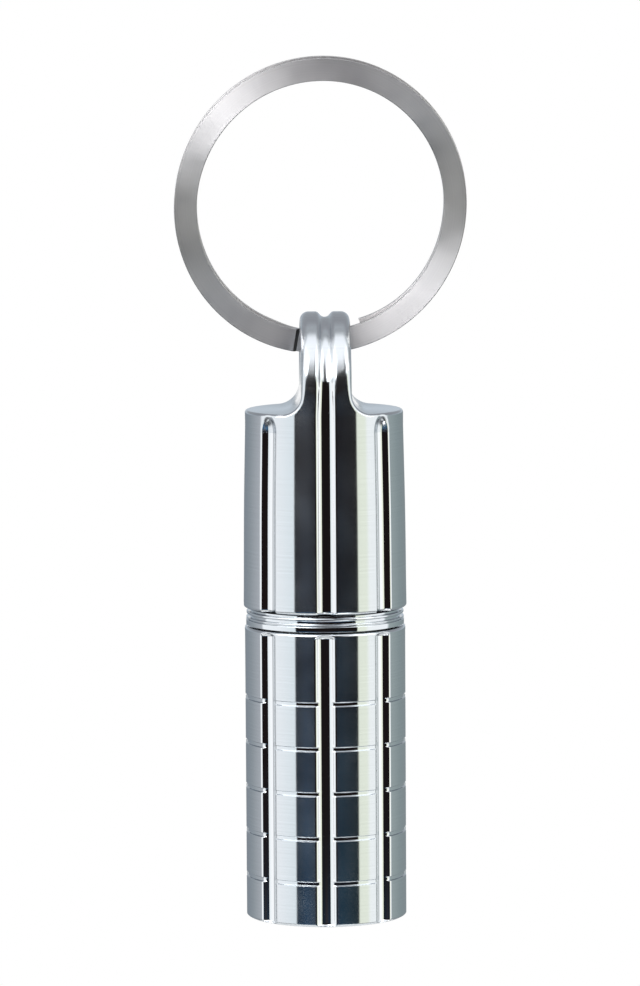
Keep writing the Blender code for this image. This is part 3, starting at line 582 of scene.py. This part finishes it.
# Nickel-plated spring steel, brushed round the ring: a streak that turns with the ring.
# Real scratches are 0.02 mm apart, drawn at 0.12 so that they show.
ring_steel = metal("ring_brushed_nickel_plated_steel", "e2e0e1", 0.44, anisotropy=0.88, axis="Y",
                   lines=0.12, line_depth=0.002, clouds=0.03, lay=0.228)
# Narrow sides of that wire: rolled, plated, not brushed, and coloured greyer than the broad sides as
# painted shade for their darker reflection
ring_edge_painted_shade_steel = metal("rolled_edge_nickel_plated_steel_painted_shade", "a3a2a3", 0.38, clouds=0.05)
# Sheared ends of the wire, not plated over, and coloured near black as painted shade for the shadowed
# gap at each end
ring_end_painted_shade_steel = metal("sheared_spring_steel_end_painted_shade", "343234", 0.30, clouds=0.08)

frame_finishes = {
    # Hardened stainless tube, ground and honed: fine rings round the blade
    "blade_steel": metal("ground_hardened_stainless_steel", "ccced0", 0.22, anisotropy=0.6, axis="Z",
                         lines=0.15, line_depth=0.0006, clouds=0.03),
    # Plain machined stainless steel: visible tool rings, no polish
    "machined_steel": metal("machined_stainless_steel", "b9bcc0", 0.34, anisotropy=0.5, axis="Z",
                            lines=0.25, line_depth=0.0015, clouds=0.05),
    # Spring steel, hardened in oil: dark and a little blotchy
    "spring_steel": metal("oil_hardened_spring_steel", "6b6f75", 0.36, anisotropy=0.3, axis="Z",
                          lines=0.2, line_depth=0.001, clouds=0.12),
    # Free-cutting brass, turned and left bright
    "brass": metal("turned_bright_brass", "e0b96a", 0.26, anisotropy=0.5, axis="Z",
                   lines=0.22, line_depth=0.0012, clouds=0.06),
    # Natural cast nylon, turned: satin and faintly cloudy
    "nylon": plain("turned_natural_nylon", "e8e4d8", 0.5, grain=0.4, depth=0.002),
    # Black nitrile rubber, moulded: matt with a fine bloom
    "rubber": plain("moulded_nitrile_rubber", "232325", 0.62, grain=0.2, depth=0.003),
    "polished_steel": turned_steel,
    "ring_steel": ring_steel,
}

for entry in frame["record"]["subparts"]:
    finish = frame_finishes[entry["material_slot"]]
    node_object = frame["nodes"][entry["node"]]
    for slot_index in range(len(node_object.material_slots)):
        node_object.material_slots[slot_index].material = finish


# Body

def build_sleeve():
    """The fluted grip with its turned grooves."""
    angles = fluted_angles() + SLEEVE_TURN
    levels = list(sleeve_top_z - SLEEVE_TOP_ROUND * ROUND_ROWS)
    start, number = SLEEVE_TOP_ROWS
    levels += list(np.linspace(sleeve_top_z - start, sleeve_flute_top_z, number))
    for middle in grooves:
        for share in GROOVE_ROWS:
            off = GROOVE_HEIGHT / 2 * share
            levels += [middle + off, middle - off]
    levels += list(nose_z + SLEEVE_FOOT_ROUND * ROUND_ROWS)
    start, end, number = SLEEVE_FOOT_ROWS
    levels += list(np.linspace(nose_z + start, nose_z + end, number))
    levels = np.array(sorted(set(np.round(levels, 5)), reverse=True))
    levels = np.clip(levels, nose_z + END_GAP, sleeve_top_z - END_GAP)
    wall = wall_points(sleeve_field, angles, levels)
    rows, columns = wall.shape[:2]
    points = wall.reshape(-1, 3)
    normals = slopes(sleeve_field, points)
    cut = sleeve_flutes(*points.T) < CUT_WITHIN
    grooved = sleeve_radius(points[:, 2]) < SLEEVE_RADIUS - GROOVED_FROM
    faces = row_faces(0, rows, columns)
    kinds = []
    for face in faces:
        if all(cut[v] for v in face):
            kinds.append(FLUTE)
        elif all(grooved[v] for v in face):
            kinds.append(SPECIAL)
        else:
            kinds.append(WALL)
    smooth = [True] * len(faces)

    inner = [ring_points(angles, SLEEVE_BORE, level) for level in (nose_z, sleeve_top_z)]
    points = np.concatenate([points] + inner)
    normals = np.concatenate([normals, np.zeros((len(inner) * columns, 3))])
    ends = row_faces(rows - 1, len(inner) + 1, columns)
    ends += closing_faces(rows + len(inner) - 1, columns)
    faces += ends
    smooth += [False] * len(ends)
    kinds += [WALL] * len(ends)
    make_piece("fluted_grip_sleeve", points, faces, normals, smooth,
               [turned_steel, buffed_steel, groove_steel], kinds,
               "sleeve_unit", "grip_sleeve")


def build_cap():
    """The cap: a turned wall below, and a skin over shoulder and bail, cut off at the same level."""
    angles = fluted_angles()
    end, number = CAP_ROWS
    levels = list(np.linspace(cap_cut_z, cap_foot_z + end, number))
    levels += list(cap_foot_z + END_GAP + CAP_FOOT_ROUND * ROUND_ROWS)
    wall = wall_points(cap_field, angles, np.array(levels))
    rows, columns = wall.shape[:2]
    points = wall.reshape(-1, 3)
    normals = slopes(cap_field, points)
    cut = cap_flutes(*points.T) < CUT_WITHIN
    faces = row_faces(0, rows, columns)
    kinds = [FLUTE if all(cut[v] for v in face) else WALL for face in faces]
    smooth = [True] * len(faces)

    bore = [(CAP_BORE, cap_foot_z), (CAP_BORE, cap_foot_z + CAP_CEILING),
            (ROD_BORE, cap_foot_z + CAP_CEILING), (ROD_BORE, cap_foot_z + ROD_SEAT)]
    inner = [ring_points(angles, radius, level) for radius, level in bore]
    points = np.concatenate([points] + inner)
    normals = np.concatenate([normals, np.zeros((len(bore) * columns, 3))])
    ends = row_faces(rows - 1, len(bore) + 1, columns)
    ends.append(tuple((rows + len(bore) - 1) * columns + c for c in range(columns)))
    faces += ends
    smooth += [False] * len(ends)
    kinds += [WALL] * len(ends)

    beside, below, above = SKIN_ROOM
    reach = CAP_FOOT_RADIUS + beside
    top_points, top_faces = skin(cap_field, (-reach, -reach, cap_cut_z - below),
                                 (reach, reach, bail_top_z + above), SKIN_CELL)
    shape = bmesh.new()
    made = [shape.verts.new(point) for point in top_points]
    for face in top_faces:
        shape.faces.new([made[v] for v in face])
    everything = list(shape.verts) + list(shape.edges) + list(shape.faces)
    bmesh.ops.bisect_plane(shape, geom=everything, dist=1e-5, plane_co=(0, 0, cap_cut_z),
                           plane_no=(0, 0, 1), clear_inner=True)
    shape.verts.index_update()
    top_points = np.array([vertex.co[:] for vertex in shape.verts])
    base = len(points)
    top_faces = [tuple(base + vertex.index for vertex in face.verts) for face in shape.faces]
    shape.free()
    # The side flutes' ends keep the rings of the turned shoulder, so only the rest is a mirror
    in_bail = np.abs(top_points[:, 0]) < BAIL_HALF_WIDTH
    mirror_top = np.where(in_bail, arch_z + NOTCH_MIRROR, cap_flute_top_z)
    cut = (cap_flutes(*top_points.T) < CUT_WITHIN) & (top_points[:, 2] < mirror_top)
    kinds += [FLUTE if all(cut[v - base] for v in face) else SPECIAL for face in top_faces]
    points = np.concatenate([points, top_points])
    normals = np.concatenate([normals, slopes(cap_field, top_points)])
    faces += top_faces
    smooth += [True] * len(top_faces)
    make_piece("fluted_cap_with_bail", points, faces, normals, smooth,
               [turned_steel, buffed_steel, bail_steel], kinds,
               "cap_unit", "cap")


def build_turned(name, outline, body, node, finish):
    """A turned ring from its closed outline, which starts on top of the bore and runs outwards."""
    angles = np.linspace(0, 2 * math.pi, TURN_STEPS, endpoint=False)
    points = np.concatenate([ring_points(angles, radius, level) for radius, level in outline])
    faces = row_faces(0, len(outline), TURN_STEPS) + closing_faces(len(outline) - 1, TURN_STEPS)
    mesh = new_mesh(name, points, faces)
    mesh.materials.append(finish)
    mesh.shade_smooth()
    mesh.set_sharp_from_angle(angle=CREASE)
    return add_piece(name, mesh, body, node)


def rounded(profile):
    """A closed outline, each corner rounded by its own radius as far as its sides allow."""
    out = []
    for index, (*corner, radius) in enumerate(profile):
        corner = np.array(corner)
        back = np.array(profile[index - 1][:2]) - corner
        on = np.array(profile[(index + 1) % len(profile)][:2]) - corner
        room = min(radius, ROUND_SHARE * np.linalg.norm(back), ROUND_SHARE * np.linalg.norm(on))
        start = corner + back / np.linalg.norm(back) * room
        end = corner + on / np.linalg.norm(on) * room
        for step in range(ROUND_STEPS + 1):
            share = step / ROUND_STEPS
            bend = (1 - share) ** 2 * start + 2 * share * (1 - share) * corner + share ** 2 * end
            out.append(tuple(bend))
    return out


def build_collar():
    """Two bright bands with a dark groove between them, and a fine line in the lower one."""
    top, foot = collar_top_z, collar_foot_z
    # Radius, level and rounding of each corner
    profile = [
        (CAP_BORE, top, 0.02), (7.70, top, 0.02),
        (7.70, top - 0.19, 0.03), (8.10, top - 0.19, 0.15),
        (8.10, top - 0.50, 0.15), (7.72, top - 0.50, 0.03),
        (7.72, top - 0.80, 0.03), (8.12, top - 0.80, 0.08),
        (8.12, top - 0.97, 0.08), (7.90, top - 0.97, 0.02),
        (7.90, top - 1.07, 0.02), (8.14, top - 1.07, 0.06),
        (8.15, foot, 0.03), (CAP_BORE, foot, 0.02),
    ]
    build_turned("banded_collar_ring", rounded(profile), "cap_unit", "collar_ring",
                 groove_steel)


def build_nose_bush():
    """The ring that closes the sleeve, with its inner groove and two spanner slots across its face."""
    foot, top = (corner.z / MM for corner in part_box("nose_bush"))
    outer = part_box("nose_bush")[1].x / MM
    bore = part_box("punch_blade")[1].x / MM + RUNNING_FIT
    middle = (foot + top) / 2
    half_height, depth = WIPER_GROOVE
    outline = [
        (bore, top), (outer, top),
        (outer, foot + BUSH_CHAMFER), (outer - BUSH_CHAMFER, foot),
        (bore + BUSH_MOUTH, foot), (bore, foot + BUSH_MOUTH),
        (bore, middle - half_height), (bore + depth, middle - half_height),
        (bore + depth, middle + half_height), (bore, middle + half_height),
    ]
    bush = build_turned("slotted_nose_bush", outline, "sleeve_unit", "nose_bush",
                        turned_steel)
    half_width, depth = SPANNER_SLOT
    aside, below = SLOT_CUTTER
    corners = [(x, y, z) for x in (-half_width, half_width) for y in (-aside, aside)
               for z in (foot - below, foot + depth)]
    sides = [(0, 1, 3, 2), (4, 6, 7, 5), (0, 4, 5, 1), (2, 3, 7, 6), (0, 2, 6, 4), (1, 5, 7, 3)]
    cutter = add_object("spanner_slots", new_mesh("spanner_slots", corners, sides))
    cut = bush.modifiers.new("slots", "BOOLEAN")
    cut.object = cutter
    cut.solver = "EXACT"
    bpy.context.view_layer.update()
    finished = bpy.data.meshes.new_from_object(bush.evaluated_get(bpy.context.evaluated_depsgraph_get()))
    bush.modifiers.clear()
    bush.data = finished
    finished.set_sharp_from_angle(angle=CREASE)
    bpy.data.objects.remove(cutter)


def build_blade():
    """The thin tube, ground to an edge on its outside."""
    foot, top = (corner.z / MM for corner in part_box("punch_blade"))
    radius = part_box("punch_blade")[1].x / MM
    bore = radius - BLADE_WALL
    edge = bore + BLADE_LEFT * BLADE_WALL
    outline = [(bore, top), (radius, top), (radius, foot + BLADE_BEVEL), (edge, foot), (bore, foot)]
    build_turned("ground_tube_blade", outline, "blade_unit", "punch_blade",
                 frame_finishes["blade_steel"])


# Split ring

def ring_place(angle, depth):
    """Across and up of a point of the ring, a depth inside its outer edge."""
    radius = RING_RADIUS + RING_OVAL * math.cos(2 * (angle - RING_LEAN)) - depth
    return RING_CENTRE[0] - radius * math.sin(angle), RING_CENTRE[1] - radius * math.cos(angle)


def build_ring():
    """Flat wire in two turns with rounded corners, the rear turn a little off the front one."""
    layer = (RING_THICKNESS + RING_GAP) / 2
    half_width, half_thick = RING_WIDTH / 2, RING_THICKNESS / 2
    section = []
    for side_across, side_deep, turn in ((1, 1, 0), (-1, 1, 90), (-1, -1, 180), (1, -1, 270)):
        for step in range(CORNER_STEPS + 1):
            angle = math.radians(turn + 90 / CORNER_STEPS * step)
            section.append((side_across * (half_width - RING_CORNER) + RING_CORNER * math.cos(angle),
                            side_deep * (half_thick - RING_CORNER) + RING_CORNER * math.sin(angle),
                            math.cos(angle), math.sin(angle)))
    start, end = RING_FRONT_END, 4 * math.pi - RING_REAR_END
    cross_start, cross_end = (2 * math.pi + angle for angle in RING_CROSSING)
    points, normals = [], []
    for index in range(RING_STATIONS + 1):
        angle = start + (end - start) * index / RING_STATIONS
        crossed = eased((angle - cross_start) / (cross_end - cross_start))
        drift = eased((angle - cross_end) / REAR_SHIFT_WITHIN)
        sprung = SPRUNG_END * max(0, 1 - (end - angle) / SPRUNG_SPREAD) ** 2
        across, up = ring_place(angle, half_width + sprung)
        middle = (across + drift * REAR_SHIFT[0], -layer * (1 - 2 * crossed), up + drift * REAR_SHIFT[1])
        out = (-math.sin(angle), -math.cos(angle))
        for away, deep, slope_away, slope_deep in section:
            back = RING_END_SLANT * (deep / half_thick + 1) / 2 if index == 0 else 0
            points.append((middle[0] + out[0] * away + out[1] * back, middle[1] - deep,
                           middle[2] + out[1] * away - out[0] * back))
            normals.append((out[0] * slope_away, -slope_deep, out[1] * slope_away))
    count = len(section)
    broad_sides = (CORNER_STEPS, 3 * CORNER_STEPS + 2)
    faces, kinds = [], []
    for station in range(RING_STATIONS):
        for c in range(count):
            following = (c + 1) % count
            faces.append((station * count + following, (station + 1) * count + following,
                          (station + 1) * count + c, station * count + c))
            kinds.append(BROAD_SIDE if c in broad_sides else NARROW_SIDE)
    smooth = [True] * len(faces) + [False, False]
    faces.append(tuple(reversed(range(count))))
    faces.append(tuple(RING_STATIONS * count + c for c in range(count)))
    kinds += [WIRE_END, WIRE_END]
    # The narrow sides and the wire's ends take colours painted darker as shade
    make_piece("two_turn_split_ring", points, faces, normals, smooth,
               [ring_steel, ring_edge_painted_shade_steel, ring_end_painted_shade_steel], kinds,
               "key_ring", "split_ring")


build_sleeve()
build_cap()
build_collar()
build_nose_bush()
build_blade()
build_ring()


# Studio

CAMERA_LENS = 196.7
CAMERA_PLACE = (-0.01145, -0.5502, 0.01559)
PAN, TILT, ROLL = math.radians(1.146), math.radians(6.005), math.radians(-0.335)
FLOOR_SIDES = 128
LAMP_AIM = (0, 0, -0.045)

camera = add_object("camera", bpy.data.cameras.new("camera"))
camera.data.sensor_width = 36.0
camera.data.lens = CAMERA_LENS
ahead = Vector((math.sin(PAN) * math.cos(TILT), math.cos(PAN) * math.cos(TILT), -math.sin(TILT)))
level_right = ahead.cross(Vector((0, 0, 1))).normalized()
level_up = level_right.cross(ahead)
right = level_right * math.cos(ROLL) + level_up * math.sin(ROLL)
up = level_up * math.cos(ROLL) - level_right * math.sin(ROLL)
facing = Matrix((right, up, -ahead)).transposed().to_4x4()
camera.matrix_world = Matrix.Translation(CAMERA_PLACE) @ facing
bpy.context.scene.camera = camera


def build_floor():
    """A pale round table top, a hand's breadth below the hanging punch."""
    radius, height, rim = 0.15, -0.186, 0.004
    shape = bmesh.new()
    rings = []
    for reach, level in ((radius - rim, height), (radius, height - rim), (radius, height - 4 * rim)):
        rings.append([shape.verts.new((reach * math.cos(a), reach * math.sin(a), level))
                      for a in np.linspace(0, 2 * math.pi, FLOOR_SIDES, endpoint=False)])
    shape.faces.new(rings[0])
    for one, other in zip(rings, rings[1:]):
        for c in range(FLOOR_SIDES):
            following = (c + 1) % FLOOR_SIDES
            shape.faces.new((one[c], other[c], other[following], one[following]))
    mesh = bpy.data.meshes.new("pale_table_top")
    shape.to_mesh(mesh)
    shape.free()
    # White melamine laminate, pressed matt: a faint, wide grain
    mesh.materials.append(plain("matt_white_laminate", "eeeeec", 0.6, grain=3.0, depth=0.02))
    table = add_object("pale_table_top", mesh)


# Azimuths start at the front and grow towards the right, rises start at the horizon,
# and both are in degrees. The first angle or share of a pair is where it starts to show.
STEEPEST = 0.9999               # keeps the arcsine of a rise away from its ends
CARD_LEFT = (-45.5, -44)
CARD_RIGHT = (47.5, 46)
CARD_BLACK = (0.011, 0.008, 0.008, 1)
CORE_DROP = 7.5                 # how far below the horizon an upright wall mirrors the camera's look
GLOW_FROM_CORE = (-2.5, -7.5)
BENCH_RISE = (-22, -30)
CEILING_RISE = (40, 54)
CLOTH_RISE = (0, 3)
CLOTH_BACKWARDS = (0.25, 0.4)   # share of the way back
STRIP_SLANT = 161               # seen from the front, from the right over the top
STRIP_SHARPNESS = 3.0
STRIP_OFF_CORE = (24, 34)
STRIP_OUTSIDE = (0.56, 0.68)    # share of the way forward, where a strip begins outside
STRIP_INSIDE = (0.93, 0.80)     # and where it begins towards the middle
STRIP_COLOUR = (14.0, 14.0, 14.0, 1.0)
STUDIO_STRENGTH = 1.35
BACKDROP_FROM = 0.975           # share of the way back, where the white behind the floor begins


def ramp(tree, share, stops):
    """A colour by an angle in degrees, whose share of the way from -180 to 180 is given."""
    made = add_node(tree, "ShaderNodeValToRGB", {"Fac": share})
    elements = made.color_ramp.elements
    while len(elements) < len(stops):
        elements.new(0.5)
    for element, (angle, colour) in zip(elements, stops):
        element.position = (angle + 180) / 360
        element.color = (*colour, 1.0)
    return made.outputs["Color"]


def angle_between(tree, angle, pair):
    """0 at the first of two angles in degrees, 1 at the second."""
    return between(tree, angle, math.radians(pair[0]), math.radians(pair[1]))


def build_world():
    """Soft boxes left and right, a black card in front, grey behind, white to the camera."""
    world = bpy.data.worlds.new("studio")
    bpy.context.scene.world = world
    world.use_nodes = True
    tree = world.node_tree
    place = add_node(tree, "ShaderNodeTexCoord")
    parts = add_node(tree, "ShaderNodeSeparateXYZ", {0: place.outputs["Generated"]}).outputs
    forward = maths(tree, "MULTIPLY", parts["Y"], -1.0)
    azimuth = maths(tree, "ARCTAN2", parts["X"], forward)
    share = between(tree, azimuth, -math.pi, math.pi)
    height = add_node(tree, "ShaderNodeClamp", {"Value": parts["Z"], "Min": -STEEPEST, "Max": STEEPEST})
    rise = maths(tree, "ARCSINE", height.outputs[0])

    # Near the horizon: pale boxes at the sides, grey cloth behind
    sides = ramp(tree, share, [
        (-180, (0.18, 0.20, 0.22)), (-150, (0.24, 0.27, 0.30)), (-132, (0.32, 0.35, 0.37)),
        (-107, (0.50, 0.51, 0.53)), (-103, (1.1, 1.1, 1.1)), (-72, (1.06, 1.06, 1.06)),
        (-47, (0.92, 0.97, 0.98)), (10, (0.98, 1.0, 0.83)), (60, (1.0, 1.02, 0.85)),
        (65, (1.12, 1.12, 1.08)), (101, (1.1, 1.1, 1.1)), (106, (0.38, 0.43, 0.42)),
        (130, (0.28, 0.33, 0.33)), (160, (0.22, 0.25, 0.26))])
    # The card in front: black where a mirror looks, blue-grey below that
    card_glow = ramp(tree, share, [
        (-46, (0.020, 0.075, 0.130)), (-30, (0.040, 0.160, 0.320)), (-19, (0.10, 0.190, 0.30)),
        (-5, (0.19, 0.19, 0.21)), (12, (0.09, 0.13, 0.20)), (20, (0.020, 0.115, 0.20)),
        (46, (0.025, 0.075, 0.100))])
    above_core = maths(tree, "ADD", rise, math.radians(CORE_DROP))
    card = blend(tree, angle_between(tree, above_core, GLOW_FROM_CORE), CARD_BLACK, card_glow)
    on_card = maths(tree, "MULTIPLY", angle_between(tree, azimuth, CARD_LEFT),
                    angle_between(tree, azimuth, CARD_RIGHT))
    sky = blend(tree, on_card, sides, card)

    # Below: a dark front edge of the bench, greyer at the sides
    under = ramp(tree, share, [
        (-180, (0.30, 0.32, 0.34)), (-110, (0.30, 0.31, 0.32)), (-60, (0.05, 0.05, 0.055)),
        (60, (0.05, 0.05, 0.055)), (110, (0.30, 0.31, 0.32)), (180, (0.30, 0.32, 0.34))])
    sky = blend(tree, angle_between(tree, rise, BENCH_RISE), sky, under)

    # Above: a white ceiling in front, grey cloth from the zenith backwards
    over = maths(tree, "ARCTAN2", parts["Z"], forward)
    ceiling = ramp(tree, between(tree, over, -math.pi, math.pi), [
        (-180, (0.44, 0.49, 0.54)), (0, (1.25, 1.25, 1.27)), (91, (1.25, 1.25, 1.27)),
        (96, (0.46, 0.49, 0.51)), (112, (0.44, 0.46, 0.48)), (124, (0.31, 0.31, 0.33)),
        (164, (0.33, 0.35, 0.37)), (173, (0.44, 0.49, 0.54))])
    cloth = maths(tree, "MULTIPLY", angle_between(tree, rise, CLOTH_RISE),
                  between(tree, parts["Y"], *CLOTH_BACKWARDS))
    above = maths(tree, "MAXIMUM", angle_between(tree, rise, CEILING_RISE), cloth)
    sky = blend(tree, above, sky, ceiling)

    # Two slanting strip lamps, upper left and lower right, that only brushed faces pick up
    roll = maths(tree, "ARCTAN2", parts["Z"], parts["X"])
    roll = maths(tree, "SUBTRACT", roll, math.radians(STRIP_SLANT))
    strip = maths(tree, "ABSOLUTE", maths(tree, "COSINE", roll))
    strip = maths(tree, "POWER", strip, STRIP_SHARPNESS)
    off_core = maths(tree, "ABSOLUTE", above_core)
    for limit in (angle_between(tree, off_core, STRIP_OFF_CORE), between(tree, forward, *STRIP_OUTSIDE),
                  between(tree, forward, *STRIP_INSIDE)):
        strip = maths(tree, "MULTIPLY", strip, limit)
    sky = blend(tree, strip, sky, STRIP_COLOUR)

    # White to the camera, and behind the floor also to mirrors and glass
    studio = add_node(tree, "ShaderNodeBackground", {"Color": sky, "Strength": STUDIO_STRENGTH})
    white = tree.nodes["Background"]
    feed(tree, white, {"Color": (1, 1, 1, 1), "Strength": 1.0})
    light = add_node(tree, "ShaderNodeLightPath").outputs
    behind = maths(tree, "MULTIPLY", maths(tree, "GREATER_THAN", parts["Y"], BACKDROP_FROM),
                   maths(tree, "LESS_THAN", parts["Z"], 0.0))
    shiny = maths(tree, "MAXIMUM", light["Is Glossy Ray"], light["Is Transmission Ray"])
    seen = maths(tree, "MULTIPLY", shiny, behind)
    to_white = maths(tree, "MAXIMUM", light["Is Camera Ray"], seen)
    both = add_node(tree, "ShaderNodeMixShader", {
        0: to_white, 1: studio.outputs[0], 2: white.outputs[0]})
    feed(tree, tree.nodes["World Output"], {"Surface": both.outputs[0]})


build_floor()
build_world()

for name, place, size, power in (
    ("left_soft_box", (-0.7, -0.35, 0.50), 0.5, 2.4),
    ("right_soft_box", (0.7, -0.35, 0.50), 0.5, 2.0),
):
    lamp = bpy.data.lights.new(name, "AREA")
    lamp.size = size
    lamp.energy = power
    lamp_object = add_object(name, lamp)
    lamp_object.location = place
    aim = Vector(LAMP_AIM) - Vector(place)
    lamp_object.rotation_euler = aim.to_track_quat("-Z", "Y").to_euler()

bpy.context.scene.view_settings.view_transform = "Standard"
